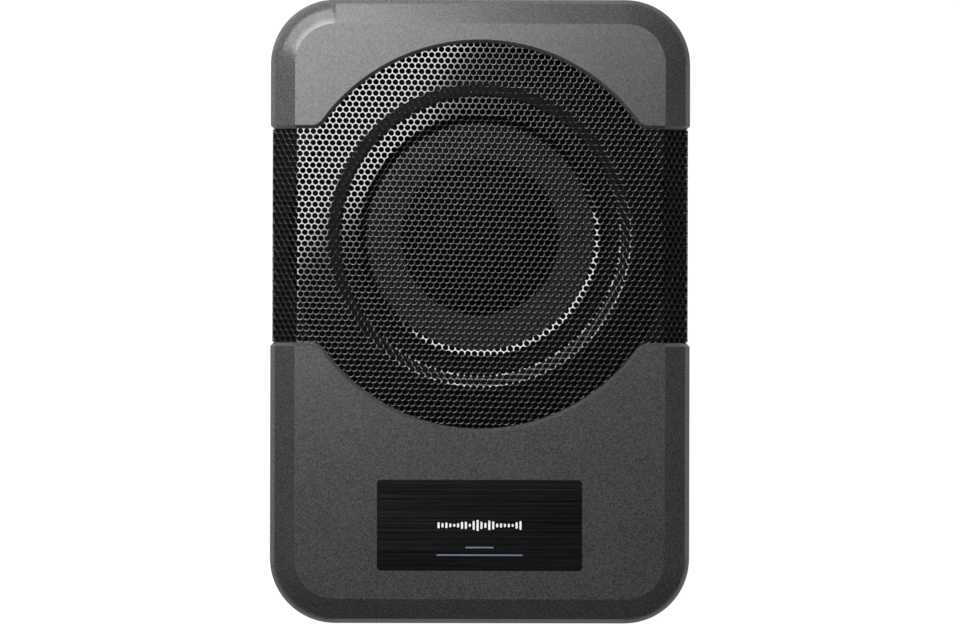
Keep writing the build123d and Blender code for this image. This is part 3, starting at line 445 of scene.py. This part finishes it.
def finish_material(
    name,
    dark,
    light,
    rough,
    grain,
    depth,
    metallic=0.0,
    stretch=(1, 1, 1),
    gloss=0.5,
    coat=0.0,
    ior=1.5,
    patch=0.15,
):
    """A surface whose colour runs between dark and light.

    The fine noise has features 1/grain metres across and stands depth high; patch is the share of the
    broad noise in the colour. Rough is the range of the roughness.
    """
    mat, tree, shader = node_material(name)
    fine = noise(tree, place(tree, stretch), grain, 3.0, 0.6)
    broad = noise(tree, place(tree, (1, 1, 1)), 38.0, 3.0, 0.55)
    mixed = tree.nodes.new("ShaderNodeMix")
    mixed.inputs["Factor"].default_value = patch
    link(tree, fine, mixed.inputs["A"])
    link(tree, broad, mixed.inputs["B"])
    tint = ramp(tree, mixed.outputs["Result"], (0.35, dark), (0.65, light))
    link(tree, tint, shader.inputs["Base Color"])
    link(tree, spread(tree, broad, rough[0], rough[1]), shader.inputs["Roughness"])
    shader.inputs["Metallic"].default_value = metallic
    shader.inputs["IOR"].default_value = ior
    shader.inputs["Specular IOR Level"].default_value = gloss
    shader.inputs["Coat Weight"].default_value = coat
    shader.inputs["Coat Roughness"].default_value = 0.12
    bump(tree, shader, fine, depth)
    return mat


def brushed_badge():
    """Black anodised plate with long horizontal brush lines."""
    mat, tree, shader = node_material("brushed_black")
    lines = noise(tree, place(tree, (0.02, 1, 1)), 2600.0, 4.0, 0.7)
    long_lines = noise(tree, place(tree, (0.006, 1, 1)), 900.0, 3.0, 0.6)
    mix = tree.nodes.new("ShaderNodeMath")
    mix.operation = "MULTIPLY"
    link(tree, lines, mix.inputs[0])
    link(tree, long_lines, mix.inputs[1])
    link(
        tree,
        ramp(tree, mix.outputs[0], (0.14, (0.006, 0.006, 0.006)), (0.42, (0.021, 0.021, 0.022))),
        shader.inputs["Base Color"],
    )
    shader.inputs["Metallic"].default_value = 1.0
    link(tree, spread(tree, long_lines, 0.22, 0.5), shader.inputs["Roughness"])
    bump(tree, shader, lines, 0.02 * MM)
    return mat


def winding_material():
    """Copper wire: fine rings one above the other."""
    mat, tree, shader = node_material("copper_winding")
    wave = tree.nodes.new("ShaderNodeTexWave")
    wave.bands_direction = "Z"
    wave.inputs["Scale"].default_value = 600.0
    wave.inputs["Distortion"].default_value = 0.4
    link(tree, place(tree, (1, 1, 1)), wave.inputs["Vector"])
    link(
        tree,
        ramp(tree, wave.outputs["Fac"], (0.0, (0.16, 0.05, 0.02)), (1.0, (0.55, 0.24, 0.10))),
        shader.inputs["Base Color"],
    )
    shader.inputs["Metallic"].default_value = 1.0
    shader.inputs["Roughness"].default_value = 0.35
    bump(tree, shader, wave.outputs["Fac"], 0.1 * MM)
    return mat


FINISH = {
    "cover": finish_material(
        "cover_grain", (0.018, 0.018, 0.0185), (0.067, 0.067, 0.068), (0.25, 0.28),
        1300.0, 0.045 * MM, gloss=0.36, patch=0.06,
    ),
    "grille": finish_material(
        "grille_gloss", (0.0025, 0.0025, 0.0025), (0.0045, 0.0045, 0.0045), (0.06, 0.09),
        900.0, 0.002 * MM, ior=1.75,
    ),
    # Painted shade: the housing's black plastic is made far darker than its own colour, standing in
    # for the shade under the grille where it shows through the holes.
    "housing": finish_material(
        "housing_plastic", (0.002, 0.002, 0.002), (0.005, 0.005, 0.005), (0.5, 0.6),
        1500.0, 0.03 * MM, gloss=0.03,
    ),
    "tub": finish_material(
        "powder_coat", (0.014, 0.014, 0.015), (0.030, 0.030, 0.031), (0.40, 0.50),
        1200.0, 0.06 * MM,
    ),
    "foot": finish_material(
        "foot_rubber", (0.008, 0.008, 0.008), (0.018, 0.018, 0.018), (0.7, 0.85),
        1500.0, 0.06 * MM,
    ),
    "foam": finish_material(
        "seal_foam", (0.012, 0.012, 0.012), (0.035, 0.035, 0.035), (0.85, 0.95),
        2400.0, 0.15 * MM,
    ),
    "screw": finish_material(
        "black_zinc", (0.03, 0.03, 0.03), (0.07, 0.068, 0.065), (0.35, 0.5),
        1800.0, 0.02 * MM, 1.0,
    ),
    # Painted shade: the basket's black paint is made far darker than its own colour, standing in for
    # the shade under the grille.
    "basket": finish_material(
        "basket_paint", (0.001, 0.001, 0.001), (0.002, 0.002, 0.002), (0.4, 0.5),
        1400.0, 0.03 * MM, gloss=0.03,
    ),
    # The surround's rubber comes in two copies, both far darker than its own black as painted shade
    # under the grille; this darker one is painted shade on the inner half of the roll.
    "surround": finish_material(
        "surround_rubber", (0.001, 0.001, 0.001), (0.003, 0.003, 0.003), (0.5, 0.6),
        1500.0, 0.02 * MM, gloss=0.03,
    ),
    # The lighter copy for the outer half of the roll: a painted highlight along its crown.
    "surround_painted_highlight": finish_material(
        "roll_rubber_painted_highlight", (0.006, 0.006, 0.006), (0.012, 0.012, 0.012), (0.5, 0.6),
        1500.0, 0.02 * MM, gloss=0.08,
    ),
    "cone": finish_material(
        "coated_pulp", (0.010, 0.010, 0.010), (0.020, 0.020, 0.020), (0.5, 0.6),
        1100.0, 0.08 * MM, gloss=0.1,
    ),
    # Painted shade: the dust cap's colour is made far darker than its own black, standing in for the
    # grille's shadow over it.
    "cap": finish_material(
        "cap_gloss", (0.0008, 0.0008, 0.0008), (0.0016, 0.0016, 0.0016), (0.55, 0.65),
        600.0, 0.004 * MM, gloss=0.02,
    ),
    "film": finish_material(
        "amber_film", (0.30, 0.15, 0.04), (0.42, 0.24, 0.08), (0.3, 0.4),
        900.0, 0.01 * MM,
    ),
    "cloth": finish_material(
        "spider_cloth", (0.30, 0.20, 0.07), (0.48, 0.34, 0.14), (0.8, 0.9),
        1800.0, 0.2 * MM,
    ),
    "zinc": finish_material(
        "zinc_plate", (0.35, 0.35, 0.36), (0.55, 0.55, 0.56), (0.25, 0.4),
        700.0, 0.02 * MM, 1.0,
    ),
    "ferrite": finish_material(
        "ground_ferrite", (0.03, 0.03, 0.032), (0.07, 0.07, 0.073), (0.55, 0.7),
        900.0, 0.06 * MM,
    ),
    "fibre": finish_material(
        "fibre_laminate", (0.16, 0.09, 0.04), (0.26, 0.16, 0.08), (0.5, 0.6),
        1600.0, 0.03 * MM, stretch=(0.2, 1, 1),
    ),
    "tinned": finish_material(
        "tinned_metal", (0.50, 0.50, 0.48), (0.70, 0.70, 0.67), (0.2, 0.35),
        2000.0, 0.02 * MM, 1.0,
    ),
    "vinyl": finish_material(
        "vinyl_insulation", (0.012, 0.012, 0.012), (0.02, 0.02, 0.02), (0.4, 0.5),
        900.0, 0.01 * MM,
    ),
    "board": finish_material(
        "solder_mask", (0.006, 0.05, 0.02), (0.012, 0.10, 0.04), (0.25, 0.4),
        500.0, 0.02 * MM,
    ),
    "epoxy": finish_material(
        "epoxy_black", (0.010, 0.010, 0.010), (0.020, 0.020, 0.020), (0.5, 0.65),
        1700.0, 0.03 * MM,
    ),
    "sleeve": finish_material(
        "capacitor_sleeve", (0.008, 0.010, 0.03), (0.012, 0.016, 0.05), (0.2, 0.3),
        300.0, 0.01 * MM,
    ),
    "panel": finish_material(
        "panel_plastic", (0.010, 0.010, 0.011), (0.020, 0.020, 0.021), (0.5, 0.62),
        2200.0, 0.05 * MM,
    ),
    "connector": finish_material(
        "connector_plastic", (0.012, 0.012, 0.013), (0.020, 0.020, 0.021), (0.3, 0.4),
        800.0, 0.01 * MM,
    ),
    "gold": finish_material(
        "gold_flash", (0.55, 0.38, 0.14), (0.75, 0.55, 0.24), (0.18, 0.3),
        1500.0, 0.01 * MM, 1.0,
    ),
    "insert": finish_material(
        "pale_insulator", (0.45, 0.45, 0.42), (0.58, 0.58, 0.55), (0.35, 0.45),
        800.0, 0.01 * MM,
    ),
    "steel": finish_material(
        "bright_steel", (0.45, 0.45, 0.45), (0.62, 0.62, 0.61), (0.2, 0.35),
        1500.0, 0.02 * MM, 1.0, (1, 1, 0.1),
    ),
    "knob": finish_material(
        "knob_plastic", (0.014, 0.014, 0.015), (0.026, 0.026, 0.027), (0.38, 0.5),
        1600.0, 0.03 * MM,
    ),
    "lamp": finish_material(
        "lamp_clear", (0.10, 0.16, 0.38), (0.16, 0.24, 0.55), (0.08, 0.15),
        500.0, 0.005 * MM, coat=0.5,
    ),
    "white_print": finish_material(
        "white_print", (0.74, 0.74, 0.74), (0.86, 0.86, 0.86), (0.45, 0.55),
        2500.0, 0.01 * MM,
    ),
    "slate_print": finish_material(
        "slate_print", (0.085, 0.13, 0.19), (0.12, 0.17, 0.25), (0.45, 0.55),
        2500.0, 0.01 * MM,
    ),
    "badge": brushed_badge(),
    "copper": winding_material(),
}

NODE_MATERIALS = {
    "cover": ["upper_trim_cover", "lower_trim_cover"],
    "housing": ["upper_housing"],
    "tub": ["base_tub"],
    "grille": ["grille"],
    "badge": ["badge_plate"],
    "foot": ["rubber_feet"],
    "foam": ["case_seal", "flange_seal"],
    "screw": ["case_screws", "cover_screws", "board_screws", "clamp_screws", "panel_screws"],
    # The driver's screws and the trim ring take the basket's darkened paint instead of their own
    # finish: painted shade under the grille.
    "basket": ["driver_basket", "driver_screws", "surround_trim_ring"],
    "surround": ["surround"],
    "cone": ["cone"],
    "cap": ["dust_cap"],
    "film": ["voice_coil_former"],
    "copper": ["voice_coil_winding", "input_choke"],
    "cloth": ["spider"],
    "zinc": ["top_plate", "yoke"],
    "ferrite": ["magnet"],
    "fibre": ["terminal_strip"],
    "tinned": ["terminal_tabs", "tinsel_leads", "power_pins"],
    "vinyl": ["speaker_leads"],
    "board": ["amplifier_board"],
    "epoxy": [
        "power_transistors",
        "power_transformer",
        "output_inductors",
        "control_chips",
        "gain_pot",
        "crossover_pot",
        "phase_switch_body",
    ],
    "sleeve": ["filter_capacitors"],
    "panel": ["control_panel"],
    "connector": ["rca_body", "power_socket", "remote_socket"],
    "gold": ["rca_barrels", "remote_pins"],
    "insert": ["rca_centres", "speaker_header"],
    "steel": ["transistor_clamp", "gain_shaft", "crossover_shaft"],
    "knob": ["gain_knob", "crossover_knob", "phase_switch_lever"],
    "lamp": ["lamp_pipe"],
}
for key, names in NODE_MATERIALS.items():
    for name in names:
        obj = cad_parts[name]
        obj.data.materials.clear()
        obj.data.materials.append(FINISH[key])


# ---------------------------------------------------------------- softened edges of CAD pieces
def soften(name, width, segments=2, angle=28):
    """Rounds a CAD piece's sharp edges with modifiers; its own mesh stays as it is."""
    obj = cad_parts[name]
    weld = obj.modifiers.new("weld", "WELD")
    weld.merge_threshold = 0.001 * MM
    edge = obj.modifiers.new("edge", "BEVEL")
    edge.limit_method = "ANGLE"
    edge.angle_limit = math.radians(angle)
    edge.width = width
    edge.segments = segments
    edge.use_clamp_overlap = True
    edge.harden_normals = True


for name in ("upper_trim_cover", "lower_trim_cover"):
    soften(name, 0.35 * MM, 3)
for name in ("base_tub", "control_panel", "rubber_feet"):
    soften(name, 0.4 * MM)
PANEL_PARTS = ("rca_body", "power_socket", "remote_socket")
PANEL_CONTROLS = ("gain_knob", "crossover_knob", "phase_switch_lever")
for name in PANEL_PARTS + PANEL_CONTROLS:
    soften(name, 0.2 * MM)


# ---------------------------------------------------------------- pieces made here
grille = perforated_sheet()
finish_piece(grille, "case", FINISH["grille"], "grille_paint", "grille")


RUBBER = 1.0 * MM
LIP = 4.0 * MM
ROLL_STEPS = 15


def surround_half(name, inner):
    """Half of the rubber half-roll, from its lip to its crown."""
    low = surround_low.z
    thick = RUBBER
    lip = LIP
    inside = CONE_RADIUS
    outside = surround_high.x - lip
    middle = (inside + outside) / 2
    rise = surround_high.z - low
    half_span = (outside - inside) / 2
    section = []
    for t in np.linspace(0, 1, ROLL_STEPS):
        a = math.pi / 2 * t
        section.append((half_span * math.cos(a), thick + (rise - thick) * math.sin(a)))
    under = []
    for t in np.linspace(0, 1, ROLL_STEPS):
        a = math.pi / 2 * (1 - t)
        under.append(((half_span - thick) * math.cos(a), (rise - thick) * math.sin(a)))
    outline = [
        (half_span + lip, 0),
        (half_span + lip, thick * 0.85),
        (half_span + lip * 0.96, thick),
    ]
    outline += section + under
    side = -1 if inner else 1
    points = [(middle + side * r, low + z) for r, z in outline]
    if inner:
        points.reverse()
    return turned(name, points, (0, DRIVER_Y), 200)


# The inner half takes the darker copy of the rubber (painted shade), the outer half the lighter copy
# (painted highlight).
for name, inner in (("surround_outer_half", False), ("surround_inner_half", True)):
    half = surround_half(name, inner)
    half.data.materials.append(FINISH["surround" if inner else "surround_painted_highlight"])
    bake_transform(half)
    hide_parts("surround")


# On the real driver the spider flexes between the basket's ledge and the former; here it is built as
# one piece per sector.
SPIDER_SECTORS = 24
SPIDER_LEDGE = 6.0 * MM
SPIDER_HUB = 3.0 * MM
SPIDER_WAVES = 5
SPIDER_CLOTH = 0.5 * MM
spider_low, spider_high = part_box("spider")
former_low, former_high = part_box("voice_coil_former")


def spider_sector(name, middle_angle):
    """One sector of the corrugated disc, as thick as its cloth."""
    inner = former_high.x + 0.1 * MM
    outer = spider_high.x
    low = spider_low.z
    wave = (spider_high.z - spider_low.z - SPIDER_CLOTH) / 2
    flat_inner, flat_outer = inner + SPIDER_HUB, outer - SPIDER_LEDGE
    line = [(inner, low + wave)]
    for r in np.linspace(flat_inner, flat_outer, 12 * SPIDER_WAVES + 1):
        turn = (r - flat_inner) / (flat_outer - flat_inner) * SPIDER_WAVES * 2 * math.pi
        line.append((r, low + wave * (1 + math.sin(turn))))
    line.append((outer, low + wave))
    section = line + [(r, z + SPIDER_CLOTH) for r, z in reversed(line)]
    half = math.pi / SPIDER_SECTORS
    points, faces = [], []
    steps = 6
    for a in np.linspace(middle_angle - half, middle_angle + half, steps + 1):
        points += [(r * math.cos(a), DRIVER_Y + r * math.sin(a), z) for r, z in section]
    n = len(section)
    for i in range(steps):
        for k in range(n):
            m = (k + 1) % n
            faces.append((i * n + k, (i + 1) * n + k, (i + 1) * n + m, i * n + m))
    return new_object(name, points, faces)


for k in range(SPIDER_SECTORS):
    angle = 2 * math.pi * k / SPIDER_SECTORS
    sector = spider_sector(f"spider_sector_{k:02d}", angle)
    sector.data.materials.append(FINISH["cloth"])
    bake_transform(sector)
    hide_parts("spider")

# The braided leads hang from the strip to the underside of the cone.
TINSEL_RADIUS = 0.6 * MM
TINSEL_CONE_X = 12 * MM
TINSEL_STEPS = 48
TINSEL_SIDES = 10
leads_low, leads_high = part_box("tinsel_leads")


def tinsel_lead(name, side):
    """A round lead along a smooth line from the strip to the cone."""
    strip_x, cone_x = side * (leads_high.x - TINSEL_RADIUS), side * TINSEL_CONE_X
    start_z, end_z = leads_low.z + 2 * TINSEL_RADIUS, leads_high.z - TINSEL_RADIUS
    ends = [
        Vector((strip_x, leads_low.y, start_z)),
        Vector((strip_x, leads_low.y + 20 * MM, start_z)),
        Vector((cone_x, leads_high.y - 16 * MM, start_z - 1.0 * MM)),
        Vector((cone_x, leads_high.y, end_z)),
    ]
    points, faces = [], []
    steps, sides = TINSEL_STEPS, TINSEL_SIDES
    for i in range(steps + 1):
        t = i / steps
        weights = ((1 - t) ** 3, 3 * t * (1 - t) ** 2, 3 * t * t * (1 - t), t**3)
        place = sum((w * p for w, p in zip(weights, ends)), Vector((0, 0, 0)))
        slope = Vector((0, 1, 0))
        across, up = Vector((1, 0, 0)), Vector((0, 0, 1))
        if t > 0.5:
            rise = (ends[3] - ends[2]).normalized()
            lean = (t - 0.5) * 2
            slope = (slope * (1 - lean) + rise * lean).normalized()
            up = across.cross(slope)
        for k in range(sides):
            a = 2 * math.pi * k / sides
            points.append(place + TINSEL_RADIUS * (math.cos(a) * across + math.sin(a) * up))
    for i in range(steps):
        for k in range(sides):
            m = (k + 1) % sides
            faces.append((i * sides + k, i * sides + m, (i + 1) * sides + m, (i + 1) * sides + k))
    faces.append(tuple(range(sides))[::-1])
    faces.append(tuple(range(steps * sides, (steps + 1) * sides)))
    return new_object(name, points, faces)


for side, name in ((-1, "tinsel_lead_left"), (1, "tinsel_lead_right")):
    lead = tinsel_lead(name, side)
    lead.data.materials.append(FINISH["tinned"])
    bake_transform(lead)
    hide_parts("tinsel_leads")


# ---------------------------------------------------------------- badge
def rounded_plate(name, low, high, radius, edge):
    """A flat plate with rounded corners and a small chamfer round its top."""
    def loop(inset, z):
        points = []
        for cx, cy, start in (
            (high.x - radius, high.y - radius, 0),
            (low.x + radius, high.y - radius, 90),
            (low.x + radius, low.y + radius, 180),
            (high.x - radius, low.y + radius, 270),
        ):
            for a in np.linspace(start, start + 90, 7):
                r = radius - inset
                x, y = cx + r * math.cos(math.radians(a)), cy + r * math.sin(math.radians(a))
                points.append((x, y, z))
        return points

    loops = [
        loop(0, low.z),
        loop(0, high.z - edge),
        loop(0.3 * edge, high.z - 0.3 * edge),
        loop(edge, high.z),
    ]
    points = [p for part in loops for p in part]
    n = len(loops[0])
    faces = [tuple(range(n))[::-1], tuple(range(len(points) - n, len(points)))]
    for level in range(len(loops) - 1):
        for k in range(n):
            m = (k + 1) % n
            faces.append((level * n + k, level * n + m, (level + 1) * n + m, (level + 1) * n + k))
    return new_object(name, points, faces, smooth=False)


badge = rounded_plate("badge_plate_brushed", badge_low, badge_high, 2 * MM, 0.2 * MM)
finish_piece(badge, "case", FINISH["badge"], "badge_metal", "badge_plate")

BADGE_X = (badge_low.x + badge_high.x) / 2
BADGE_Y = (badge_low.y + badge_high.y) / 2
PRINT = 0.04 * MM


def print_bar(name, x, y, width, height, material):
    """A thin printed bar with rounded ends on the badge."""
    low = Vector((x - width / 2, y - height / 2, badge_high.z))
    high = Vector((x + width / 2, y + height / 2, badge_high.z + PRINT))
    bar = rounded_plate(name, low, high, min(width, height) * 0.45, 0.3 * PRINT)
    return finish_piece(bar, "case", material, "badge_metal")


BAR_COUNT = 22
BAR_PITCH = 2.15 * MM
BAR_WIDTH = 1.15 * MM
BAR_HEIGHT = 6.2 * MM
LINE_THICKNESS = 0.8 * MM
for k in range(BAR_COUNT):
    t = (k - (BAR_COUNT - 1) / 2) / ((BAR_COUNT - 1) / 2)
    level = 0.25 + 0.75 * abs(math.cos(2.4 * t) * math.cos(9.0 * t + 0.6))
    print_bar(
        f"level_bar_{k:02d}",
        BADGE_X + (k - (BAR_COUNT - 1) / 2) * BAR_PITCH,
        BADGE_Y,
        BAR_WIDTH,
        BAR_HEIGHT * level,
        FINISH["white_print"],
    )
print_bar("short_line", BADGE_X, BADGE_Y - 12.2 * MM, 15.5 * MM, LINE_THICKNESS, FINISH["slate_print"])
print_bar("long_line", BADGE_X, BADGE_Y - 16.4 * MM, 47.6 * MM, LINE_THICKNESS, FINISH["slate_print"])

# ---------------------------------------------------------------- floor, light and camera
FLOOR = 3.0
FLOOR_Z = -0.2 * MM
floor = new_object(
    "studio_floor",
    [(x * FLOOR, y * FLOOR, FLOOR_Z) for x, y in ((-1, -1), (1, -1), (1, 1), (-1, 1))],
    [(0, 1, 2, 3)],
    smooth=False,
)
paper, paper_tree, paper_shader = node_material("studio_paper")
paper_grain = noise(paper_tree, place(paper_tree, (1, 1, 1)), 30.0, 3.0, 0.5)
paper_tint = ramp(paper_tree, paper_grain, (0.3, (0.07, 0.07, 0.07)), (0.7, (0.08, 0.08, 0.08)))
link(paper_tree, paper_tint, paper_shader.inputs["Base Color"])
paper_shader.inputs["Roughness"].default_value = 0.9
paper_shader.inputs["Emission Color"].default_value = (1, 1, 1, 1)
paper_shader.inputs["Emission Strength"].default_value = 1.0
floor.data.materials.append(paper)


def softbox(name, at, along, size, radiance, aim=(0, 0, TOP), spread=180):
    """A rectangular soft light facing a point; size is its length along a direction and its width.

    Spread is the full angle it shines into, in degrees; radiance is what is seen from straight ahead.
    """
    back = (Vector(at) - Vector(aim)).normalized()
    side = Vector(along)
    side = (side - back * side.dot(back)).normalized()
    data = bpy.data.lights.new(name, "AREA")
    data.shape = "RECTANGLE"
    data.size, data.size_y = size
    half = math.radians(spread) / 2
    narrowing = math.tan(half) / (math.tan(half) - half) if spread < 180 else 1
    data.energy = 4 * size[0] * size[1] * radiance / narrowing
    data.spread = math.radians(spread)
    lamp = bpy.data.objects.new(name, data)
    axes = Matrix((side, back.cross(side), back)).transposed()
    lamp.matrix_world = Matrix.Translation(at) @ axes.to_4x4()
    bpy.context.scene.collection.objects.link(lamp)
    return lamp


# The key light stands to the upper left; its near edge runs parallel to this level direction.
KEY_ALONG = Vector((0.770, 0.638, 0))
KEY_OUT = Vector((-0.638, 0.770, 0))
KEY_LENGTH = 0.8
KEY_WIDTH = 0.32
KEY_RADIANCE = 9
BACK_RADIANCE = 4.2
key_at = KEY_OUT * 0.318 + KEY_ALONG * 0.1 + Vector((0, 0, 1.0))
softbox("key_softbox", key_at, KEY_ALONG, (KEY_LENGTH, KEY_WIDTH), KEY_RADIANCE)
softbox("back_softbox", (-0.25, 1.1, 0.85), (1, 0, 0), (0.7, 0.4), BACK_RADIANCE)

# Narrow boxes round the upper left corner light the bevel there and little else.
CORNER = Vector((-0.1, 0.16, TOP))
CORNER_REACH = 0.48
CORNER_RISE = Vector((0, 0, 0.37))
CORNER_BOX = (0.17, 0.2)
CORNER_RADIANCE = 25
CORNER_SPREAD = 34
for k, azimuth in enumerate((92, 112, 132, 152)):
    towards = Vector((math.cos(math.radians(azimuth)), math.sin(math.radians(azimuth)), 0))
    at = CORNER + towards * CORNER_REACH + CORNER_RISE
    along = towards.cross((0, 0, 1))
    name = f"corner_softbox_{k}"
    softbox(name, at, along, CORNER_BOX, CORNER_RADIANCE, aim=CORNER, spread=CORNER_SPREAD)

world = bpy.data.worlds.new("studio_world")
world.use_nodes = True
world.node_tree.nodes["Background"].inputs["Color"].default_value = (1, 1, 1, 1)
world.node_tree.nodes["Background"].inputs["Strength"].default_value = 0.1
bpy.context.scene.world = world

CAMERA_HEIGHT = 2.6
FIELD_HEIGHT = 344.9 * MM
ASPECT = 960 / 624
SENSOR = 36.0
camera_data = bpy.data.cameras.new("top_camera")
camera_data.sensor_width = SENSOR
camera_data.lens = SENSOR * (CAMERA_HEIGHT - TOP + 8 * MM) / (FIELD_HEIGHT * ASPECT)
camera_data.dof.use_dof = False
camera_data.clip_start = 0.05
camera_data.clip_end = 20
camera = bpy.data.objects.new("top_camera", camera_data)
camera.location = (0.0, -0.0003, CAMERA_HEIGHT)
camera.rotation_euler = (0, 0, math.radians(0.12))
bpy.context.scene.collection.objects.link(camera)
bpy.context.scene.camera = camera
bpy.context.scene.view_settings.view_transform = "Standard"
